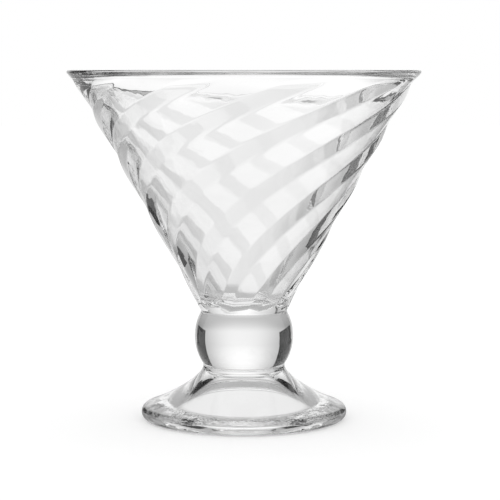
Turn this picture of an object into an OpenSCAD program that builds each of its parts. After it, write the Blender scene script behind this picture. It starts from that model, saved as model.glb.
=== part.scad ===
// Footed ice cream and parfait glass with a swirl-fluted bowl.
// The cone-shaped bowl, the ball knop and the spread foot are three gathers of
// glass, fused end to end at flat discs. Millimetres, +Z up, with the origin on
// the table in the middle of the foot and the front towards -Y.

/* [Whole glass] */
// Piece to draw
// Height from the table to the top of the rim
glass_h = 107.3; // [98:0.1:118]
// Outside diameter of the rim
rim_d = 108; // [100:0.5:116]

/* [Bowl] */
// Thickness of the wall at the rim, square to its slope
rim_wall = 3.3; // [2.4:0.1:4]
// Thickness of the wall at the bottom of the cavity, square to its slope
low_wall = 4.4; // [3.4:0.1:5]
// Solid glass between the joint with the knop and the bottom of the cavity
bowl_floor = 2.4; // [1.8:0.1:6]
// Height over which the bottom of the cavity is rounded
cavity_round = 5; // [3:0.5:8]
// Height of the plain band below the top of the rim
band_h = 2; // [1.4:0.1:3]
// How far the rim stands out from the straight line of the crests
rim_proud = 0.15; // [0:0.05:0.5]
// How far the crests flare out from that line where they would reach the top
rim_flare = 0.7; // [0:0.1:1.2]
// Radius of the lip outside
lip_out_r = 0.6; // [0.4:0.1:1]
// Radius of the lip inside
lip_in_r = 1.5; // [0.8:0.1:1.8]

/* [Swirl flutes] */
// Flutes around the bowl
flute_count = 10; // [8:1:12]
// Depth of a flute near the rim, before its crest and its valley are rounded
flute_depth = 1.3; // [0.4:0.05:1.5]
// Share of that depth that is left at the knop
low_depth_share = 0.6; // [0.4:0.05:1]
// Share of a flute's width that its steep side takes
steep_share = 0.4; // [0.2:0.02:0.46]
// Share of a flute's width that its crest is rounded over, to each side
crest_round_share = 0.05; // [0.02:0.01:0.08]
// Share of a flute's width that its valley is rounded over, to each side
valley_round_share = 0.03; // [0.01:0.01:0.06]
// Degrees that a flute turns on its way from the knop to the rim
swirl_turn = 167; // [90:1:200]
// Share of that turn that is gathered towards the rim
swirl_gain_share = 0.24; // [0:0.02:0.4]
// Degrees between the front and the first valley where it leaves the knop
swirl_start = 1.5; // [0:0.5:36]

/* [Knop] */
// Diameter of the ball
knop_d = 30.5; // [29:0.25:33]
// Height of the ball between its two joints
knop_h = 16.8; // [15:0.1:18]
// Height of the middle of the ball above the lower joint
knop_rise = 9.1; // [8:0.1:10]
// Radius of the hollow fillets beside the two joints
neck_fillet = 1.5; // [0.8:0.1:2.4]

/* [Foot] */
// Diameter of the foot
foot_d = 63.5; // [58:0.5:70]
// Height of the foot up to its joint with the knop
foot_h = 16.6; // [15:0.1:19]
// Radius of the round edge of the foot
edge_r = 2.25; // [1.8:0.05:2.8]
// Slope in degrees of the foot's top where it meets the edge
edge_slope = 19; // [12:1:26]
// How far the foot's top keeps near that slope before it turns up
slope_reach = 7.9; // [6:0.1:10]
// How far the foot's top runs straight down below the joint
neck_reach = 3.4; // [2:0.1:5]
// Diameter of the cone hollow under the foot, where it meets the table
hollow_d = 42; // [36:0.5:48]
// Diameter of that hollow at its top, before the corner there is rounded
hollow_top_d = 16.4; // [12:0.2:18]
// Height of that hollow
hollow_h = 12.8; // [9:0.1:13.5]
// Radius of the round between the side and the top of that hollow
hollow_round = 2; // [0.8:0.1:3]

/* [Hidden] */
// Facets of each turned surface
$fn = 96;
// Overlap that fuses the turned and the fluted parts of one gather
tuck = 0.5;
// Gap that keeps two nearly equal outlines of one gather from coinciding
shy = 0.05;
// Height by which a cut runs out of the glass
run_out = 1;
// Height below the rim over which the crests flare
flare_h = 4.5;
// Heights over which the flutes fade into the plain glass, low and high
low_fade = 5;
high_fade = 4;
// Direction in degrees from the centre of the lip where its round begins
lip_start = -40;
// Steps of a rounded stretch of an outline
arc_steps = 8;
// Steps of the ball's outline and of the foot's curved top
ball_steps = 18;
sweep_steps = 14;
// Columns on each round of a flute, and on its steep and its gentle side
round_steps = 2;
steep_steps = 2;
gentle_steps = 4;
// Rings of the fluted wall within each fade and between the two
fade_rings = 5;
wall_rings = 34;

rim_r = rim_d / 2;
foot_r = foot_d / 2;
knop_r = knop_d / 2;
joint_z = foot_h + knop_h;
knop_z = foot_h + knop_rise;
band_z = glass_h - band_h;
cavity_z = joint_z + bowl_floor;

// The fillets touch the ball, which settles the radius of each joint.
fillet_reach = knop_r + neck_fillet;
upper_angle = asin((knop_h - knop_rise) / fillet_reach);
lower_angle = asin(knop_rise / fillet_reach);
upper_joint_r = fillet_reach * cos(upper_angle) - neck_fillet;
lower_joint_r = fillet_reach * cos(lower_angle) - neck_fillet;

// The straight line of the crests leaves the bowl's fillet and runs to the rim.
wall_lean = atan2(rim_r - rim_proud - upper_joint_r, glass_h - joint_z);
collar_h = neck_fillet * sin(wall_lean);
collar_r = upper_joint_r + neck_fillet * (1 - cos(wall_lean));
collar_z = joint_z + collar_h;
wall_rate = (rim_r - rim_proud - collar_r) / (glass_h - collar_z);

flute_pitch = 360 / flute_count;
steep_rate = 1 / steep_share;
gentle_rate = 1 / (1 - steep_share);
wall_low_z = joint_z + collar_h / 2;
wall_high_z = band_z + tuck;

// Radius of the straight crest line at a height
function line_r(z) = collar_r + wall_rate * (z - collar_z);
// Radius of the crests at a height, with the flare below the rim
function crest_r(z) =
    line_r(z) + rim_flare * pow(max(0, (z - glass_h + flare_h) / flare_h), 2);
// Thickness of the wall, measured level, at a height
function level_wall(z) =
    (low_wall + (rim_wall - low_wall) * (z - cavity_z) / (glass_h - cavity_z)) / cos(wall_lean);
// Radius of the cavity at a height
function cavity_r(z) = line_r(z) - level_wall(z);
// Points of a round stretch about a centre, from one direction to another
function arc(centre, radius, from, to, steps = arc_steps) =
    [for (i = [0 : steps]) let (a = from + (to - from) * i / steps)
        centre + radius * [cos(a), sin(a)]];
// Point of a curve between two ends, drawn by a handle near each
function sweep(start, start_handle, end_handle, end, t) =
    pow(1 - t, 3) * start + 3 * pow(1 - t, 2) * t * start_handle
    + 3 * (1 - t) * pow(t, 2) * end_handle + pow(t, 3) * end;
// Share of the way from one height to another, easing into the second
function ease(from, to, z) = sin(90 * min(1, max(0, (z - from) / (to - from))));

// Share of the bowl's height at a level
function rise(z) = (z - joint_z) / (glass_h - joint_z);
// Direction of the first valley at a height, turning quicker towards the rim
function valley_turn(z) = swirl_start
    + swirl_turn * (rise(z) * (1 - swirl_gain_share) + pow(rise(z), 3) * swirl_gain_share);
// Share of the depth across a flute with sharp corners, 1 in its valley at 0 and 0 on its crest
function sharp_form(u) =
    u < 0 ? 1 + gentle_rate * u
    : u < steep_share ? 1 - steep_rate * u
    : gentle_rate * (u - steep_share);
// What the round of a corner adds or takes at a place: the slope changes evenly over it
function round_form(u, corner, reach) =
    (steep_rate + gentle_rate) * reach * pow(max(0, 1 - abs(u - corner) / reach), 2) / 4;
// Share of the depth across a flute with its crest and its valley rounded
function flute_form(u) = sharp_form(u)
    + round_form(u, steep_share, crest_round_share) - round_form(u, 0, valley_round_share);
// Depth of the flutes at a height, fading at both ends
function depth_at(z) =
    flute_depth * (low_depth_share + (1 - low_depth_share) * rise(z))
    * ease(collar_z, collar_z + low_fade, z) * ease(band_z, band_z - high_fade, z);

// Evenly spaced places from one value up to another, without the last
function places(from, to, steps) = [for (i = [0 : steps - 1]) from + (to - from) * i / steps];
// Places across one flute, from just before its valley to just before the next one
flute_places = concat(
    places(-valley_round_share, valley_round_share, round_steps),
    places(valley_round_share, steep_share - crest_round_share, steep_steps),
    places(steep_share - crest_round_share, steep_share + crest_round_share, round_steps),
    places(steep_share + crest_round_share, 1 - valley_round_share, gentle_steps));
// Heights of the rings of the fluted wall
ring_heights = concat(
    [wall_low_z],
    places(collar_z, collar_z + low_fade, fade_rings),
    places(collar_z + low_fade, band_z - high_fade, wall_rings),
    places(band_z - high_fade, band_z, fade_rings),
    [band_z, wall_high_z]);

// Closed skin of the fluted wall: rings of points that follow the flutes
module fluted_wall() {
    columns = flute_count * len(flute_places);
    last = len(ring_heights) - 1;
    points = [for (z = ring_heights, k = [0 : flute_count - 1], u = flute_places)
        let (a = valley_turn(z) - 90 + flute_pitch * (k + u))
        let (r = crest_r(z) - shy - depth_at(z) * flute_form(u))
        [r * cos(a), r * sin(a), z]];
    sides = [for (j = [0 : last - 1], i = [0 : columns - 1])
        let (n = (i + 1) % columns, low = j * columns, high = low + columns)
        each [[low + i, high + i, high + n], [low + i, high + n, low + n]]];
    bottom = [for (i = [0 : columns - 1]) i];
    top = [for (i = [columns - 1 : -1 : 0]) last * columns + i];
    polyhedron(points, concat(sides, [bottom, top]));
}

// Neck of the bowl: a disc with the upper half of the hollow fillet
module bowl_collar() {
    centre = [upper_joint_r + neck_fillet, joint_z];
    neck = arc(centre, neck_fillet, 180, 180 - wall_lean);
    rotate_extrude() polygon(concat([[0, joint_z]], neck, [[0, collar_z]]));
}

// Plain band below the rim, with the outer round of the lip
module rim_band() {
    lip = arc([rim_r - lip_out_r, glass_h - lip_out_r], lip_out_r, lip_start, 90);
    rotate_extrude() polygon(concat([[0, band_z], [crest_r(band_z), band_z]], lip, [[0, glass_h]]));
}

// Cavity of the bowl: a cone with a rounded bottom and the inner round of the lip
module cavity() {
    bottom_z = cavity_z + cavity_round;
    bottom_r = cavity_r(bottom_z);
    lip_z = glass_h - lip_in_r;
    lip_r = cavity_r(lip_z) + lip_in_r;
    bottom = [for (i = [0 : arc_steps]) let (a = 90 * i / arc_steps * (1 - wall_lean / 180))
        [bottom_r * sin(a), bottom_z - cavity_round * cos(a)]];
    lip = arc([lip_r, lip_z], lip_in_r, 180, 90);
    rotate_extrude()
        polygon(concat(bottom, lip, [[lip_r, glass_h + run_out], [0, glass_h + run_out]]));
}

// Bowl with right-hand swirl flutes outside and a smooth cavity inside
module bowl() {
    color("LightCyan", 0.6) difference() {
        union() {
            fluted_wall();
            bowl_collar();
            rim_band();
        }
        cavity();
    }
}

// Ball knop, with half a hollow fillet at each joint
module knop() {
    low_fillet = [lower_joint_r + neck_fillet, foot_h];
    high_fillet = [upper_joint_r + neck_fillet, joint_z];
    color("LightCyan", 0.6) rotate_extrude() polygon(concat(
        [[0, foot_h]],
        arc(low_fillet, neck_fillet, 180, 180 - lower_angle),
        arc([0, knop_z], knop_r, -lower_angle, upper_angle, ball_steps),
        arc(high_fillet, neck_fillet, 180 + upper_angle, 180),
        [[0, joint_z]]));
}

// Spread foot with a round edge, a swept top and a cone hollow underneath
module foot() {
    edge = [foot_r - edge_r, edge_r];
    joint = [lower_joint_r, foot_h];
    joint_handle = [lower_joint_r, foot_h - neck_reach];
    edge_end = edge + edge_r * [sin(edge_slope), cos(edge_slope)];
    edge_handle = edge_end + slope_reach * [-cos(edge_slope), sin(edge_slope)];
    fall = atan2(hollow_h, (hollow_d - hollow_top_d) / 2);
    round_centre = [hollow_top_d / 2 - hollow_round * tan(fall / 2), hollow_h - hollow_round];
    hollow = concat(
        [[0, hollow_h]], arc(round_centre, hollow_round, 90, 90 - fall), [[hollow_d / 2, 0]]);
    top = [for (i = [1 : sweep_steps])
        sweep(edge_end, edge_handle, joint_handle, joint, i / sweep_steps)];
    color("LightCyan", 0.6) rotate_extrude() polygon(concat(
        hollow, arc(edge, edge_r, -90, 90 - edge_slope), top, [[0, foot_h]]));
}

bowl();
knop();
foot();
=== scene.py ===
"""Dressed scene of a footed parfait and ice cream glass in clear pressed glass.

The bowl, the knop and the foot are surfaces of two parameters, the place along an outline and the
direction round the axis, worked out with numpy from the same sizes as the CAD solids. Lengths are in
millimetres and angles in degrees, unless a docstring says otherwise.
"""

from __future__ import annotations

import logging
import math
from abc import ABC, abstractmethod
from dataclasses import dataclass, field
from enum import Enum
from typing import Union

import bpy
import numpy as np
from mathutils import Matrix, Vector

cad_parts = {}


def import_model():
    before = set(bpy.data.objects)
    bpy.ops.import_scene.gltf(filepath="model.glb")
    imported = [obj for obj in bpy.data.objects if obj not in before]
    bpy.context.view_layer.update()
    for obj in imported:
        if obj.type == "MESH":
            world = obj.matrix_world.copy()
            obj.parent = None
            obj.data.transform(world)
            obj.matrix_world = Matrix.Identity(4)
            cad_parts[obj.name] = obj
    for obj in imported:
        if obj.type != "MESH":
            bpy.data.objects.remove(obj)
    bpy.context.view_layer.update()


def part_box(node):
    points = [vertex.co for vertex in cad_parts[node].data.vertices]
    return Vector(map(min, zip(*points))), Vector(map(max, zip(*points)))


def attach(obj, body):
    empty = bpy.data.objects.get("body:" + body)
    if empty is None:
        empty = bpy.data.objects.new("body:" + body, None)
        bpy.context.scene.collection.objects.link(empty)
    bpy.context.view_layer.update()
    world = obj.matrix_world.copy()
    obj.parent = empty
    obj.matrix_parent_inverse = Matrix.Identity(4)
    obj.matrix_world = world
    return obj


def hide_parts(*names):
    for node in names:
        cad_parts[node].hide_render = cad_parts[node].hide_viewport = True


LOG = logging.getLogger("glass")
MM = 0.001
FULL_TURN = 2 * math.pi
PHOTO_PIXELS = 500
BETWEEN_COUNTS = 0.5
FRONT = -90.0
WHITE = (1.0, 1.0, 1.0, 1.0)

Place = tuple[float, float, float]
Feed = Union[float, tuple, bpy.types.NodeSocket]


class Slot(Enum):
    """Material slots of the record."""

    BOWL = "bowl_glass"
    KNOP = "knop_glass"
    FOOT = "foot_glass"


class Side(Enum):
    """Side of the stage that a card stands on, as its sign along X."""

    LEFT = -1
    RIGHT = 1


def share_between(low: float, high: float, value: np.ndarray) -> np.ndarray:
    """Share of the way from low to high, held between 0 and 1.

    Args:
        low: Value at share 0.
        high: Value at share 1, which may lie below low.
        value: Values to place.

    Returns:
        The shares, in the shape of value.
    """
    return np.clip((value - low) / (high - low), 0.0, 1.0)


def arc(centre: tuple[float, float], radius: float, start: float, end: float, steps: int) -> np.ndarray:
    """Points of a round stretch of an outline: centre + radius * (cos a, sin a).

    Args:
        centre: Radius and height of the centre.
        radius: Radius of the round.
        start: First direction in degrees.
        end: Last direction in degrees.
        steps: Number of steps between the two.

    Returns:
        An array of (radius, height) pairs.
    """
    angles = np.radians(np.linspace(start, end, steps + 1))
    return np.array(centre) + radius * np.stack([np.cos(angles), np.sin(angles)], axis=1)


def sweep(start: np.ndarray, start_handle: np.ndarray, end_handle: np.ndarray, end: np.ndarray,
          steps: int) -> np.ndarray:
    """Points of a cubic curve between two ends, drawn by a handle near each.

    Args:
        start: First point.
        start_handle: Handle near the first point.
        end_handle: Handle near the last point.
        end: Last point.
        steps: Number of steps between the two.

    Returns:
        An array of (radius, height) pairs.
    """
    t = np.linspace(0.0, 1.0, steps + 1)[:, None]
    return ((1 - t) ** 3 * start + 3 * (1 - t) ** 2 * t * start_handle
            + 3 * (1 - t) * t ** 2 * end_handle + t ** 3 * end)


def turned(outline: np.ndarray, columns: int) -> np.ndarray:
    """Surface of an outline turned round the axis: (r cos a, r sin a, z) at even directions a.

    Args:
        outline: (radius, height) pairs.
        columns: Number of directions.

    Returns:
        Points in the shape (pairs, columns, 3).
    """
    angles = np.linspace(0.0, FULL_TURN, columns, endpoint=False)
    radius, height = outline[:, 0, None], outline[:, 1, None]
    return np.stack([radius * np.cos(angles), radius * np.sin(angles),
                     np.broadcast_to(height, (len(outline), columns))], axis=2)


@dataclass
class ClosedSkin:
    """Closed mesh of rings round the axis, shut by a point on the axis at each end."""

    name: str
    rings: np.ndarray
    low_pole: float
    high_pole: float
    low_disc: bool = False
    high_disc: bool = False

    def build(self) -> bpy.types.Object:
        """Makes the mesh with its faces outwards; a fused disc is flat and takes the second slot.

        Returns:
            The new object at the origin, in metres.
        """
        count, columns, _ = self.rings.shape
        points = np.concatenate([self.rings.reshape(-1, 3), [[0, 0, self.low_pole], [0, 0, self.high_pole]]])
        here = np.arange(columns)
        after = (here + 1) % columns
        base = np.arange(count - 1)[:, None] * columns
        quads = np.stack([base + here, base + after, base + columns + after, base + columns + here], axis=2)
        low, high, last = count * columns, count * columns + 1, (count - 1) * columns
        low_fan = np.stack([np.full(columns, low), after, here], axis=1)
        high_fan = np.stack([np.full(columns, high), last + here, last + after], axis=1)
        faces = quads.reshape(-1, 4).tolist() + low_fan.tolist() + high_fan.tolist()
        mesh = bpy.data.meshes.new(self.name)
        mesh.from_pydata((points * MM).tolist(), [], faces)
        disc = np.zeros(len(faces), dtype=bool)
        disc[-2 * columns:-columns] = self.low_disc
        disc[-columns:] = self.high_disc
        mesh.polygons.foreach_set("use_smooth", ~disc)
        mesh.polygons.foreach_set("material_index", disc.astype(np.int32))
        mesh.update()
        skin = bpy.data.objects.new(self.name, mesh)
        bpy.context.scene.collection.objects.link(skin)
        return skin


@dataclass
class Wiring:
    """Small helper that adds shader nodes and links them."""

    tree: bpy.types.NodeTree

    def add(self, kind: str, **inputs: Feed) -> bpy.types.Node:
        """Adds a node and sets or links its inputs, whose names have _ for each space.

        Args:
            kind: Node type, without the word ShaderNode.
            inputs: Values, or the sockets that feed them.

        Returns:
            The new node.
        """
        node = self.tree.nodes.new("ShaderNode" + kind)
        for name, value in inputs.items():
            self.feed(node.inputs[name.replace("_", " ")], value)
        return node

    def feed(self, socket: bpy.types.NodeSocket, value: Feed) -> None:
        """Links an input to a socket, or sets its value.

        Args:
            socket: The input.
            value: What it gets.
        """
        if isinstance(value, bpy.types.NodeSocket):
            self.tree.links.new(value, socket)
        else:
            socket.default_value = value

    def maths(self, operation: str, *values: Feed) -> bpy.types.NodeSocket:
        """Adds a Math node.

        Args:
            operation: Blender's name of the operation.
            values: One to three numbers or sockets.

        Returns:
            Its output.
        """
        node = self.tree.nodes.new("ShaderNodeMath")
        node.operation = operation
        for socket, value in zip(node.inputs, values):
            self.feed(socket, value)
        return node.outputs[0]

    def ramp(self, value: Feed, low: float, high: float, start: float = 0.0, end: float = 1.0,
             smooth: bool = True) -> bpy.types.NodeSocket:
        """Adds a Map Range node that goes from start at low to end at high.

        Args:
            value: Number or socket that is mapped.
            low: Value that gives start.
            high: Value that gives end.
            start: Result at low.
            end: Result at high.
            smooth: Whether the way between them is eased at both ends.

        Returns:
            Its output.
        """
        node = self.tree.nodes.new("ShaderNodeMapRange")
        node.interpolation_type = "SMOOTHSTEP" if smooth else "LINEAR"
        for name, given in (("Value", value), ("From Min", low), ("From Max", high), ("To Min", start),
                            ("To Max", end)):
            self.feed(node.inputs[name], given)
        return node.outputs[0]

    def noise(self, place: bpy.types.NodeSocket, scale: float, detail: float) -> bpy.types.NodeSocket:
        """Adds a Noise node read at a place, and gives its grey output."""
        return self.add("TexNoise", Vector=place, Scale=scale, Detail=detail).outputs["Fac"]

    def shown_by_glass(self, path: bpy.types.Node) -> bpy.types.NodeSocket:
        """Gives 1 to rays that glass bends or mirrors, and 0 to all others."""
        return self.maths("MAXIMUM", path.outputs["Is Transmission Ray"], path.outputs["Is Glossy Ray"])


def new_material(name: str) -> tuple[bpy.types.Material, Wiring, bpy.types.Node]:
    """Makes an empty node material.

    Args:
        name: Name of the material.

    Returns:
        The material, its wiring and its output node.
    """
    material = bpy.data.materials.new(name)
    material.use_nodes = True
    material.node_tree.nodes.clear()
    wiring = Wiring(material.node_tree)
    return material, wiring, wiring.add("OutputMaterial")


@dataclass(frozen=True)
class PressedGlass:
    """Clear soda glass with the faint ripple that a mould leaves, smudges, and pits where it rests."""

    name: str
    ior: float = 1.52
    streak_scale: float = 45.0
    streak_detail: float = 3.0
    streak_from: float = 0.35
    streak_to: float = 0.65
    palest: float = 1.0
    deepest: float = 0.985
    smudge_scale: float = 60.0
    smudge_detail: float = 4.0
    smudge_from: float = 0.5
    smudge_to: float = 0.7
    smudge_roughness: float = 0.012
    ripple_scale: float = 110.0
    ripple_detail: float = 1.5
    ripple_height: float = 0.012
    pitting_scale: float = 320.0
    pitting_detail: float = 2.0
    pitting_height: float = 0.0
    pitting_full: float = 0.15
    pitting_top: float = 0.3

    def relief(self, wiring: Wiring, place: bpy.types.NodeSocket) -> bpy.types.NodeSocket:
        """Adds nodes for ripple * its height + pits * their height, which fades out just above the table.

        Args:
            wiring: Wiring of the node tree.
            place: Place on the object.

        Returns:
            The relief in millimetres.
        """
        waves = wiring.noise(place, self.ripple_scale, self.ripple_detail)
        ripple = wiring.maths("MULTIPLY", waves, self.ripple_height)
        pits = wiring.noise(place, self.pitting_scale, self.pitting_detail)
        up = wiring.add("SeparateXYZ", Vector=place).outputs["Z"]
        pit_height = wiring.ramp(up, self.pitting_full * MM, self.pitting_top * MM, self.pitting_height, 0.0)
        return wiring.maths("MULTIPLY_ADD", pits, pit_height, ripple)

    def material(self) -> bpy.types.Material:
        """Builds the finish.

        Returns:
            The material.
        """
        material, wiring, output = new_material(self.name)
        place = wiring.add("TexCoord").outputs["Object"]
        streaks = wiring.noise(place, self.streak_scale, self.streak_detail)
        tint = wiring.ramp(streaks, self.streak_from, self.streak_to, self.palest, self.deepest)
        colour = wiring.add("CombineColor", Red=tint, Green=tint, Blue=tint)
        smudges = wiring.noise(place, self.smudge_scale, self.smudge_detail)
        roughness = wiring.ramp(smudges, self.smudge_from, self.smudge_to, 0.0, self.smudge_roughness)
        bump = wiring.add("Bump", Strength=1.0, Distance=MM, Height=self.relief(wiring, place))
        glass = wiring.add("BsdfPrincipled", Base_Color=colour.outputs[0], Roughness=roughness,
                           Normal=bump.outputs[0])
        glass.inputs["IOR"].default_value = self.ior
        glass.inputs["Transmission Weight"].default_value = 1.0
        wiring.feed(output.inputs["Surface"], glass.outputs[0])
        return material


@dataclass(frozen=True)
class FusedDisc:
    """Inside of the glass where two gathers are fused: light crosses it straight on."""

    name: str = "fused_joint"

    def material(self) -> bpy.types.Material:
        """Builds the finish.

        Returns:
            The material.
        """
        material, wiring, output = new_material(self.name)
        wiring.feed(output.inputs["Surface"], wiring.add("BsdfTransparent").outputs[0])
        return material


@dataclass
class Sizes:
    """Sizes that the gathers share, in millimetres, the same as in the CAD source."""

    height: float = 107.3
    rim_radius: float = 54.0
    foot_radius: float = 31.75
    foot_height: float = 16.6
    knop_height: float = 16.8
    knop_rise: float = 9.1
    knop_radius: float = 15.25
    neck_fillet: float = 1.5
    joint_z: float = field(init=False)
    knop_z: float = field(init=False)
    upper_angle: float = field(init=False)
    lower_angle: float = field(init=False)
    upper_joint_radius: float = field(init=False)
    lower_joint_radius: float = field(init=False)

    def __post_init__(self) -> None:
        """Works out the joints, whose fillets touch the ball."""
        self.joint_z = self.foot_height + self.knop_height
        self.knop_z = self.foot_height + self.knop_rise
        reach = self.knop_radius + self.neck_fillet
        self.upper_angle = math.degrees(math.asin((self.knop_height - self.knop_rise) / reach))
        self.lower_angle = math.degrees(math.asin(self.knop_rise / reach))
        self.upper_joint_radius = reach * math.cos(math.radians(self.upper_angle)) - self.neck_fillet
        self.lower_joint_radius = reach * math.cos(math.radians(self.lower_angle)) - self.neck_fillet

    @classmethod
    def from_frame(cls) -> Sizes:
        """Takes the outer sizes from the boxes of the CAD nodes."""
        bowl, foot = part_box("bowl")[1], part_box("foot")[1]
        return cls(height=bowl.z / MM, rim_radius=min(bowl.x, bowl.y) / MM,
                   foot_radius=min(foot.x, foot.y) / MM, foot_height=foot.z / MM)


@dataclass
class Gather(ABC):
    """One gather of glass: a closed skin in clear glass, with its fused discs let through."""

    sizes: Sizes
    finish: PressedGlass
    joint: FusedDisc

    @abstractmethod
    def mesh(self) -> bpy.types.Object:
        """Makes the skin."""

    @abstractmethod
    def dress(self, piece: bpy.types.Object) -> None:
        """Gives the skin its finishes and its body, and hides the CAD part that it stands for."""

    def apply_finishes(self, piece: bpy.types.Object) -> None:
        """Fills the two material slots of a skin: the glass, then the fused discs.

        Args:
            piece: The skin.
        """
        for finish in (self.finish, self.joint):
            piece.data.materials.append(finish.material())

    def build(self) -> bpy.types.Object:
        """Makes the gather and dresses it.

        Returns:
            The piece.
        """
        piece = self.mesh()
        self.dress(piece)
        return piece


@dataclass
class Bowl(Gather):
    """Cone bowl with right-hand swirl flutes outside, a plain rim band and a smooth cavity."""

    rim_wall: float = 3.3
    low_wall: float = 4.4
    bowl_floor: float = 2.4
    cavity_round: float = 5.0
    band_height: float = 2.0
    rim_proud: float = 0.15
    rim_flare: float = 0.7
    flare_height: float = 4.5
    lip_out_radius: float = 0.6
    lip_out_start: float = -40.0
    lip_in_radius: float = 1.5
    flute_count: int = 10
    flute_depth: float = 1.3
    low_depth_share: float = 0.6
    steep_share: float = 0.40
    crest_round_share: float = 0.05
    valley_round_share: float = 0.03
    swirl_turn: float = 167.0
    swirl_gain_share: float = 0.24
    swirl_start: float = 1.5
    low_fade: float = 5.0
    high_fade: float = 4.0
    round_columns: int = 8
    steep_columns: int = 6
    gentle_columns: int = 14
    wall_rings: int = 165
    fade_rings: int = 14
    neck_steps: int = 8
    lip_steps: int = 10
    cavity_steps: int = 25
    bottom_steps: int = 18

    def __post_init__(self) -> None:
        """Works out the straight line of the crests and the levels of the bowl."""
        s = self.sizes
        line_radius = s.rim_radius - self.rim_proud
        self.lean = math.atan2(line_radius - s.upper_joint_radius, s.height - s.joint_z)
        self.collar_radius = s.upper_joint_radius + s.neck_fillet * (1 - math.cos(self.lean))
        self.collar_z = s.joint_z + s.neck_fillet * math.sin(self.lean)
        self.rate = (line_radius - self.collar_radius) / (s.height - self.collar_z)
        self.band_z = s.height - self.band_height
        self.fade_z = self.band_z - self.high_fade
        self.cavity_z = s.joint_z + self.bowl_floor

    def line_radius(self, z: np.ndarray) -> np.ndarray:
        """Radius of the straight crest line: collar radius + rate * height above the collar."""
        return self.collar_radius + self.rate * (z - self.collar_z)

    def crest_radius(self, z: np.ndarray) -> np.ndarray:
        """Crest line plus a flare that grows with the square of the way into the rim's last stretch."""
        into = np.maximum(0.0, (z - self.sizes.height + self.flare_height) / self.flare_height)
        return self.line_radius(z) + self.rim_flare * into ** 2

    def cavity_radius(self, z: np.ndarray) -> np.ndarray:
        """Crest line less the wall / cos(lean), where the wall thins evenly towards the rim.

        Args:
            z: Levels.

        Returns:
            The radii.
        """
        way = (z - self.cavity_z) / (self.sizes.height - self.cavity_z)
        wall = self.low_wall + (self.rim_wall - self.low_wall) * way
        return self.line_radius(z) - wall / math.cos(self.lean)

    def rise(self, z: np.ndarray) -> np.ndarray:
        """Share of the bowl's height at a level."""
        return (z - self.sizes.joint_z) / (self.sizes.height - self.sizes.joint_z)

    def valley_turn(self, z: np.ndarray) -> np.ndarray:
        """Direction of the first valley from the front: its turn grows with the rise and its cube."""
        rise, gain = self.rise(z), self.swirl_gain_share
        return self.swirl_start + self.swirl_turn * (rise * (1 - gain) + rise ** 3 * gain)

    def depth_at(self, z: np.ndarray) -> np.ndarray:
        """Depth of the flutes, growing with the rise and eased to nothing at both ends.

        Args:
            z: Levels on the wall.

        Returns:
            The depths.
        """
        share = self.low_depth_share + (1 - self.low_depth_share) * self.rise(z)
        low = np.sin(share_between(self.collar_z, self.collar_z + self.low_fade, z) * math.pi / 2)
        high = np.sin(share_between(self.band_z, self.fade_z, z) * math.pi / 2)
        return self.flute_depth * share * low * high

    def round_form(self, u: np.ndarray, corner: float, reach: float) -> np.ndarray:
        """What the round of a corner adds or takes: bend * reach * (1 - distance / reach)^2 / 4.

        The slope changes evenly over the round.

        Args:
            u: Places across a flute.
            corner: Place of the corner.
            reach: How far the round goes to each side.

        Returns:
            Shares of the depth.
        """
        bend = 1 / self.steep_share + 1 / (1 - self.steep_share)
        return bend * reach * np.maximum(0.0, 1 - np.abs(u - corner) / reach) ** 2 / 4

    def flute_form(self, u: np.ndarray) -> np.ndarray:
        """Share of the depth across a flute: straight up its steep side, straight down the gentle side.

        The valley lies at u = 0 and the crest at the steep side's share, and both are rounded.

        Args:
            u: Places across a flute, from just before its valley to just before the next one.

        Returns:
            Shares of the depth, near 1 in the valley and near 0 on the crest.
        """
        steep, gentle = 1 / self.steep_share, 1 / (1 - self.steep_share)
        sharp = np.where(u < 0, 1 + gentle * u, np.where(
            u < self.steep_share, 1 - steep * u, gentle * (u - self.steep_share)))
        return (sharp + self.round_form(u, self.steep_share, self.crest_round_share)
                - self.round_form(u, 0.0, self.valley_round_share))

    def flute_places(self) -> np.ndarray:
        """Places across a flute, close together on the rounds, from just before its valley to the next one.

        Returns:
            The places as shares of the flute's width.
        """
        crest, valley, steep = self.crest_round_share, self.valley_round_share, self.steep_share
        return np.concatenate([
            np.linspace(-valley, valley, self.round_columns, endpoint=False),
            np.linspace(valley, steep - crest, self.steep_columns, endpoint=False),
            np.linspace(steep - crest, steep + crest, self.round_columns, endpoint=False),
            np.linspace(steep + crest, 1 - valley, self.gentle_columns, endpoint=False)])

    def lip(self) -> np.ndarray:
        """Small round outside, flat top and larger round inside of the lip.

        Returns:
            The (radius, height) pairs.
        """
        s = self.sizes
        outside = arc((s.rim_radius - self.lip_out_radius, s.height - self.lip_out_radius),
                      self.lip_out_radius, self.lip_out_start, 90, self.lip_steps)
        centre_z = s.height - self.lip_in_radius
        centre_radius = float(self.cavity_radius(np.array(centre_z))) + self.lip_in_radius
        inside = arc((centre_radius, centre_z), self.lip_in_radius, 90, 180, self.lip_steps)
        return np.concatenate([outside, inside])

    def bottom(self) -> np.ndarray:
        """Shallow round bottom of the cavity: (top radius * sin a, top height - round * cos a).

        The direction a falls to 0 on the axis, from half the wall's lean short of a right angle.

        Returns:
            The (radius, height) pairs, without the one on the axis.
        """
        top_z = self.cavity_z + self.cavity_round
        top_radius = float(self.cavity_radius(np.array(top_z)))
        angles = np.linspace((math.pi - self.lean) / 2, 0.0, self.bottom_steps + 1)[:-1]
        return np.stack([top_radius * np.sin(angles), top_z - self.cavity_round * np.cos(angles)], axis=1)

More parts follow.
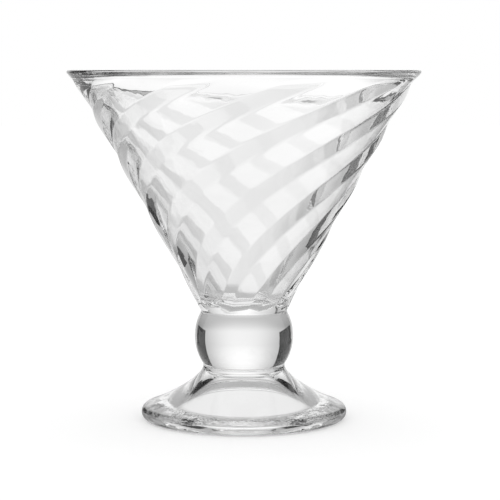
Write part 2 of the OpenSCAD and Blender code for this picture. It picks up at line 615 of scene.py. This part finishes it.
    def outline(self) -> tuple[np.ndarray, np.ndarray]:
        """Outline of the crests from the joint up the wall, over the lip and down the cavity.

        Returns:
            The (radius, height) pairs, and the depth of the flutes at each.
        """
        s = self.sizes
        neck = arc((s.upper_joint_radius + s.neck_fillet, s.joint_z), s.neck_fillet, 180,
                   180 - math.degrees(self.lean), self.neck_steps)[:-1]
        wall_z = np.concatenate([np.linspace(self.collar_z, self.fade_z, self.wall_rings, endpoint=False),
                                 np.linspace(self.fade_z, self.band_z, self.fade_rings)])
        wall = np.stack([self.crest_radius(wall_z), wall_z], axis=1)
        lip, bottom = self.lip(), self.bottom()
        way = np.linspace(0.0, 1.0, self.cavity_steps + 1)[1:-1, None]
        inside = lip[-1] * (1 - way) + bottom[0] * way
        pairs = np.concatenate([neck, wall, lip, inside, bottom])
        depth = np.zeros(len(pairs))
        depth[len(neck):len(neck) + len(wall)] = self.depth_at(wall_z)
        return pairs, depth

    def rings(self) -> np.ndarray:
        """Skin of the bowl: radius = crest outline - depth * flute form, on columns that follow the flutes.

        Returns:
            Points in the shape (rings, columns, 3).
        """
        pairs, depth = self.outline()
        u = self.flute_places()
        flutes = np.arange(self.flute_count)[:, None]
        across = ((flutes + u) * (360 / self.flute_count)).reshape(-1)
        form = np.tile(self.flute_form(u), self.flute_count)
        top = int(np.argmax(pairs[:, 1]))
        turn = self.valley_turn(pairs[:, 1])
        turn[top:] = turn[top]
        angles = np.radians(FRONT + turn[:, None] + across)
        radius = pairs[:, 0, None] - depth[:, None] * form
        height = np.broadcast_to(pairs[:, 1, None], radius.shape)
        return np.stack([radius * np.cos(angles), radius * np.sin(angles), height], axis=2)

    def mesh(self) -> bpy.types.Object:
        """Makes the skin of the bowl, which is fused at its lower end."""
        skin = ClosedSkin("pressed_bowl", self.rings(), self.sizes.joint_z, self.cavity_z, low_disc=True)
        return skin.build()

    def dress(self, piece: bpy.types.Object) -> None:
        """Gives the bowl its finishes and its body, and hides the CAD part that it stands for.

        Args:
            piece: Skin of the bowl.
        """
        self.apply_finishes(piece)
        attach(piece, "root")
        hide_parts("bowl")


@dataclass
class Knop(Gather):
    """Solid ball between the bowl and the foot, with half a hollow fillet at each joint."""

    columns: int = 192
    fillet_steps: int = 10
    ball_steps: int = 72

    def outline(self) -> np.ndarray:
        """Lower fillet, ball and upper fillet, touching one another.

        Returns:
            The (radius, height) pairs.
        """
        s = self.sizes
        low = arc((s.lower_joint_radius + s.neck_fillet, s.foot_height), s.neck_fillet, 180,
                  180 - s.lower_angle, self.fillet_steps)
        ball = arc((0.0, s.knop_z), s.knop_radius, -s.lower_angle, s.upper_angle, self.ball_steps)
        high = arc((s.upper_joint_radius + s.neck_fillet, s.joint_z), s.neck_fillet, 180 + s.upper_angle,
                   180, self.fillet_steps)
        return np.concatenate([low, ball[1:], high[1:]])

    def mesh(self) -> bpy.types.Object:
        """Makes the skin of the knop, which is fused at both ends.

        Returns:
            The skin.
        """
        s = self.sizes
        skin = ClosedSkin("ball_knop", turned(self.outline(), self.columns), s.foot_height, s.joint_z,
                          low_disc=True, high_disc=True)
        return skin.build()

    def dress(self, piece: bpy.types.Object) -> None:
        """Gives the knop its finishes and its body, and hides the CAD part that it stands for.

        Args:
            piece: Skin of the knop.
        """
        self.apply_finishes(piece)
        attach(piece, "root")
        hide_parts("knop")


@dataclass
class Foot(Gather):
    """Spread foot with a round edge, a swept top and a cone hollow underneath."""

    edge_radius: float = 2.25
    edge_slope: float = 19.0
    slope_reach: float = 7.9
    neck_reach: float = 3.4
    hollow_radius: float = 21.0
    hollow_top_radius: float = 8.2
    hollow_height: float = 12.8
    hollow_round: float = 2.0
    columns: int = 256
    level_steps: int = 4
    round_steps: int = 12
    edge_steps: int = 26
    sweep_steps: int = 60

    def hollow(self) -> np.ndarray:
        """Flat top, round and straight side of the hollow, from the axis down to the table.

        Returns:
            The (radius, height) pairs, without the one on the axis.
        """
        fall = math.atan2(self.hollow_height, self.hollow_radius - self.hollow_top_radius)
        centre = (self.hollow_top_radius - self.hollow_round * math.tan(fall / 2),
                  self.hollow_height - self.hollow_round)
        rounded = arc(centre, self.hollow_round, 90, 90 - math.degrees(fall), self.round_steps)
        out = np.linspace(0, centre[0], self.level_steps + 1)[1:-1]
        level = np.stack([out, np.full_like(out, self.hollow_height)], axis=1)
        base = np.array([self.hollow_radius, 0.0])
        # Handles on the ends keep the side straight and crowd its rings where the shading turns.
        side = sweep(rounded[-1], rounded[-1], base, base, self.sweep_steps)
        return np.concatenate([level, rounded, side[1:]])

    def outline(self) -> np.ndarray:
        """Hollow, round edge, and the sweep of the top up to the joint.

        Returns:
            The (radius, height) pairs.
        """
        s = self.sizes
        centre = np.array([s.foot_radius - self.edge_radius, self.edge_radius])
        joint = np.array([s.lower_joint_radius, s.foot_height])
        slope = math.radians(self.edge_slope)
        edge_end = centre + self.edge_radius * np.array([math.sin(slope), math.cos(slope)])
        edge_handle = edge_end + self.slope_reach * np.array([-math.cos(slope), math.sin(slope)])
        joint_handle = joint - np.array([0.0, self.neck_reach])
        edge = arc(tuple(centre), self.edge_radius, -90, 90 - self.edge_slope, self.edge_steps)
        top = sweep(edge_end, edge_handle, joint_handle, joint, self.sweep_steps)
        return np.concatenate([self.hollow(), edge, top[1:]])

    def mesh(self) -> bpy.types.Object:
        """Makes the skin of the foot, which is fused at its upper end.

        Returns:
            The skin.
        """
        skin = ClosedSkin("spread_foot", turned(self.outline(), self.columns), self.hollow_height,
                          self.sizes.foot_height, high_disc=True)
        return skin.build()

    def dress(self, piece: bpy.types.Object) -> None:
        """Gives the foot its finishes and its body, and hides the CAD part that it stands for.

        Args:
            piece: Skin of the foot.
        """
        self.apply_finishes(piece)
        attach(piece, "root")
        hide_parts("foot")


def flat_sheet(name: str, places: list[Place], material: bpy.types.Material) -> bpy.types.Object:
    """Makes a flat sheet of the stage.

    Args:
        name: Name of the sheet.
        places: Its four corners in millimetres.
        material: Its material.

    Returns:
        The object.
    """
    mesh = bpy.data.meshes.new(name)
    mesh.from_pydata((np.array(places) * MM).tolist(), [], [(0, 1, 2, 3)])
    mesh.materials.append(material)
    sheet = bpy.data.objects.new(name, mesh)
    bpy.context.scene.collection.objects.link(sheet)
    return sheet


@dataclass
class Card:
    """Upright dark card beside the glass, which only its glass and its reflections show."""

    side: Side
    stand_off: float
    near: float
    far: float
    low: float
    high: float
    deepest: int = 99
    level: float = 0.005

    def build(self) -> bpy.types.Object:
        """Makes the card.

        Returns:
            The stage object.
        """
        x = self.side.value * self.stand_off
        name = f"card_{self.side.name.lower()}_{self.stand_off:.0f}"
        card = flat_sheet(name, [(x, self.near, self.low), (x, self.far, self.low), (x, self.far, self.high),
                                 (x, self.near, self.high)], self.material(name))
        card.visible_camera = card.visible_shadow = card.visible_diffuse = False
        return card

    def material(self, name: str) -> bpy.types.Material:
        """Builds the card's material, which lets light by that has crossed more glass than its deepest.

        Args:
            name: Name of the material.

        Returns:
            The material.
        """
        material, wiring, output = new_material(name)
        depth = wiring.add("LightPath").outputs["Transmission Depth"]
        mix = wiring.add("MixShader", Fac=wiring.maths("GREATER_THAN", depth, self.deepest + BETWEEN_COUNTS))
        wiring.feed(mix.inputs[1], wiring.add("Emission", Strength=self.level).outputs[0])
        wiring.feed(mix.inputs[2], wiring.add("BsdfTransparent").outputs[0])
        wiring.feed(output.inputs["Surface"], mix.outputs[0])
        return material


@dataclass
class Surround:
    """Lit backdrop round the glass: white to the camera, with a soft glow behind for glass to show."""

    glow_azimuth: float = 2.0
    glow_elevation: float = 12.0
    glow_spread: float = 20.5
    glow_level: float = 0.67
    base_level: float = 0.4
    side_level: float = 0.53
    side_from: float = 50.0
    side_to: float = 85.0
    front_dip: float = 0.7
    front_spread: float = 20.0
    plain_level: float = 0.95

    def bell(self, wiring: Wiring, across: Feed, along: Feed, spread: float) -> bpy.types.NodeSocket:
        """Adds nodes for a soft round spot: exp(-(across^2 + along^2) / (2 spread^2)).

        Args:
            wiring: Wiring of the node tree.
            across: Angle from the spot's middle, in radians.
            along: Angle from the spot's middle the other way, in radians.
            spread: Spread in degrees.

        Returns:
            The strength of the spot.
        """
        away = wiring.maths("MULTIPLY_ADD", across, across, wiring.maths("MULTIPLY", along, along))
        return wiring.maths("EXPONENT", wiring.maths("MULTIPLY", away, -0.5 / math.radians(spread) ** 2))

    def level(self, wiring: Wiring, azimuth: Feed, elevation: Feed) -> bpy.types.NodeSocket:
        """Adds nodes for the light that glass shows: base + glow spot behind + sides - dip in front.

        Args:
            wiring: Wiring of the node tree.
            azimuth: Direction round the axis in radians, 0 behind the glass.
            elevation: Direction above the horizon in radians.

        Returns:
            The level.
        """
        aside = wiring.maths("SUBTRACT", azimuth, math.radians(self.glow_azimuth))
        above = wiring.maths("SUBTRACT", elevation, math.radians(self.glow_elevation))
        glow = self.bell(wiring, aside, above, self.glow_spread)
        turn = wiring.maths("ABSOLUTE", azimuth)
        side = wiring.ramp(turn, math.radians(self.side_from), math.radians(self.side_to), 0.0,
                           self.side_level)
        dip = self.bell(wiring, wiring.maths("SUBTRACT", turn, math.pi), elevation, self.front_spread)
        back = wiring.maths("MULTIPLY_ADD", glow, self.glow_level, self.base_level)
        return wiring.maths("MULTIPLY_ADD", dip, -self.front_dip, wiring.maths("ADD", back, side))

    def build(self) -> bpy.types.World:
        """Makes the world.

        Returns:
            The world.
        """
        world = bpy.data.worlds.new("surround")
        world.use_nodes = True
        world.node_tree.nodes.clear()
        wiring = Wiring(world.node_tree)
        x, y, z = wiring.add("SeparateXYZ", Vector=wiring.add("TexCoord").outputs["Generated"]).outputs
        level = self.level(wiring, wiring.maths("ARCTAN2", x, y), wiring.maths("ARCSINE", z))
        path = wiring.add("LightPath")
        plain = wiring.maths("SUBTRACT", level, self.plain_level)
        light = wiring.maths("MULTIPLY_ADD", wiring.shown_by_glass(path), plain, self.plain_level)
        strength = wiring.maths("MULTIPLY_ADD", path.outputs["Is Camera Ray"], wiring.maths(
            "SUBTRACT", 1.0, light), light)
        background = wiring.add("Background", Color=WHITE, Strength=strength)
        wiring.feed(wiring.add("OutputWorld").inputs["Surface"], background.outputs[0])
        return world


@dataclass
class Floor:
    """Pale floor: white with a soft shadow to the camera; in what the glass shows, painted shade near the
    glass and painted light of the surround far off.

    The levels are pairs of a distance from the axis in millimetres and the level there; their dip near the
    axis is painted shade, darkest under the foot's ring.
    """

    surround: Surround
    reach: float = 3000.0
    drop: float = 0.1
    glow: float = 0.33
    paint: float = 0.8
    turn_from: float = 40.0
    turn_to: float = 110.0
    lift: float = 0.9
    lift_from: float = 70.0
    lift_to: float = 150.0
    lift_deepest: int = 2
    levels: tuple[tuple[float, float], ...] = (
        (19.0, 0.88), (22.0, 0.38), (31.0, 0.40), (45.0, 0.50), (84.0, 0.58), (128.0, 0.72), (183.0, 0.84),
        (290.0, 0.88), (500.0, 0.93), (1200.0, 1.0))

    def build(self) -> bpy.types.Object:
        """Makes the floor.

        Returns:
            The stage object.
        """
        r, z = self.reach, -self.drop
        return flat_sheet("floor", [(-r, -r, z), (r, -r, z), (r, r, z), (-r, r, z)], self.material())

    def glass_level(self, wiring: Wiring, path: bpy.types.Node) -> bpy.types.NodeSocket:
        """Adds nodes for the light that glass shows: the level at a distance, which is painted shade near
        the glass, times the surround's level far off, which is painted light of the surround's glow and dip.

        Light that has crossed little glass sees the far floor lifted towards white.

        Args:
            wiring: Wiring of the node tree.
            path: Light path node.

        Returns:
            The level.
        """
        place = wiring.add("TexCoord").outputs["Object"]
        length = wiring.add("VectorMath", Vector=place)
        length.operation = "LENGTH"
        distance = length.outputs["Value"]
        # Painted shade: the floor that glass shows grows darker towards the glass, darkest under the foot's
        # ring.
        level: Feed = self.levels[0][1]
        for (near, low), (far, high) in zip(self.levels, self.levels[1:]):
            step = wiring.ramp(distance, near * MM, far * MM, 0.0, high - low, smooth=False)
            level = wiring.maths("ADD", level, step)
        depth = path.outputs["Transmission Depth"]
        shallow = wiring.maths("LESS_THAN", depth, self.lift_deepest + BETWEEN_COUNTS)
        far_lift = wiring.ramp(distance, self.lift_from * MM, self.lift_to * MM, 0.0, self.lift)
        lift = wiring.maths("MULTIPLY", shallow, far_lift)
        level = wiring.maths("MULTIPLY_ADD", lift, wiring.maths("SUBTRACT", 1.0, level), level)
        # Painted light: far off, the floor that glass shows takes the surround's level in each direction,
        # with its glow behind and its dip in front.
        x, y, _ = wiring.add("SeparateXYZ", Vector=place).outputs
        beyond = self.surround.level(wiring, wiring.maths("ARCTAN2", x, y), 0.0)
        turned_share = wiring.ramp(distance, self.turn_from * MM, self.turn_to * MM)
        dimmer = wiring.maths("MULTIPLY_ADD", wiring.maths("SUBTRACT", beyond, 1.0), turned_share, 1.0)
        return wiring.maths("MULTIPLY", level, dimmer)

    def material(self) -> bpy.types.Material:
        """Builds the floor's material.

        Returns:
            The material.
        """
        material, wiring, output = new_material("floor")
        path = wiring.add("LightPath")
        level = self.glass_level(wiring, path)
        own_light = wiring.maths("MULTIPLY", path.outputs["Is Camera Ray"], self.glow)
        glow = wiring.add("Emission", Strength=own_light)
        paint = wiring.add("BsdfDiffuse", Color=(self.paint, self.paint, self.paint, 1.0))
        plain = wiring.add("AddShader")
        wiring.feed(plain.inputs[0], glow.outputs[0])
        wiring.feed(plain.inputs[1], paint.outputs[0])
        mix = wiring.add("MixShader", Fac=wiring.shown_by_glass(path))
        wiring.feed(mix.inputs[1], plain.outputs[0])
        wiring.feed(mix.inputs[2], wiring.add("Emission", Strength=level).outputs[0])
        wiring.feed(output.inputs["Surface"], mix.outputs[0])
        return material


@dataclass
class Viewpoint:
    """Camera at the photograph's place: level with the rim and pitched down a little."""

    sizes: Sizes
    distance: float = 570.0
    pixels_to_focus: float = 1860.0
    pixels_above_middle: float = 180.0
    pixels_aside: float = 6.0
    sensor: float = 36.0

    def build(self) -> bpy.types.Object:
        """Makes the camera and sets it as the scene's.

        Returns:
            The camera.
        """
        lens = bpy.data.cameras.new("viewpoint")
        lens.sensor_width = self.sensor
        lens.lens = self.pixels_to_focus / PHOTO_PIXELS * self.sensor
        lens.shift_x = self.pixels_aside / PHOTO_PIXELS
        camera = bpy.data.objects.new("viewpoint", lens)
        bpy.context.scene.collection.objects.link(camera)
        camera.location = (0.0, -self.distance * MM, self.sizes.height * MM)
        pitch = math.atan(self.pixels_above_middle / self.pixels_to_focus)
        camera.rotation_euler = (math.pi / 2 - pitch, 0.0, 0.0)
        bpy.context.scene.camera = camera
        return camera


@dataclass
class Studio:
    """Floor, dark cards, surround and camera, and how often light may cross or meet glass."""

    sizes: Sizes
    crossings: int = 32
    reflections: int = 16
    passes: int = 24
    cards: tuple[Card, ...] = (
        Card(Side.RIGHT, stand_off=80.0, near=52.0, far=112.0, low=0.0, high=85.0, deepest=2),
        Card(Side.LEFT, stand_off=80.0, near=52.0, far=135.0, low=0.0, high=28.0, deepest=2),
        Card(Side.RIGHT, stand_off=240.0, near=99.0, far=294.0, low=45.0, high=480.0),
        Card(Side.LEFT, stand_off=240.0, near=99.0, far=360.0, low=30.0, high=480.0))

    def build(self) -> None:
        """Sets the stage and the view settings."""
        scene = bpy.context.scene
        scene.view_settings.view_transform = "Standard"
        scene.cycles.max_bounces = self.crossings
        scene.cycles.transmission_bounces = self.crossings
        scene.cycles.glossy_bounces = self.reflections
        scene.cycles.transparent_max_bounces = self.passes
        surround = Surround()
        Floor(surround).build()
        [card.build() for card in self.cards]
        scene.world = surround.build()
        Viewpoint(self.sizes).build()


def main() -> None:
    """Builds the glass on its frame and reports each piece."""
    logging.basicConfig(level=logging.INFO, format="%(message)s")
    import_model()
    sizes = Sizes.from_frame()
    joint = FusedDisc()
    gathers: tuple[Gather, ...] = (
        Bowl(sizes, PressedGlass(Slot.BOWL.value, ripple_scale=140.0, ripple_height=0.10), joint),
        Knop(sizes, PressedGlass(Slot.KNOP.value), joint),
        Foot(sizes, PressedGlass(Slot.FOOT.value, pitting_height=0.2), joint))
    for gather in gathers:
        piece = gather.build()
        LOG.info("%s: %d faces", piece.name, len(piece.data.polygons))
    Studio(sizes).build()


if __name__ == "__main__":
    main()
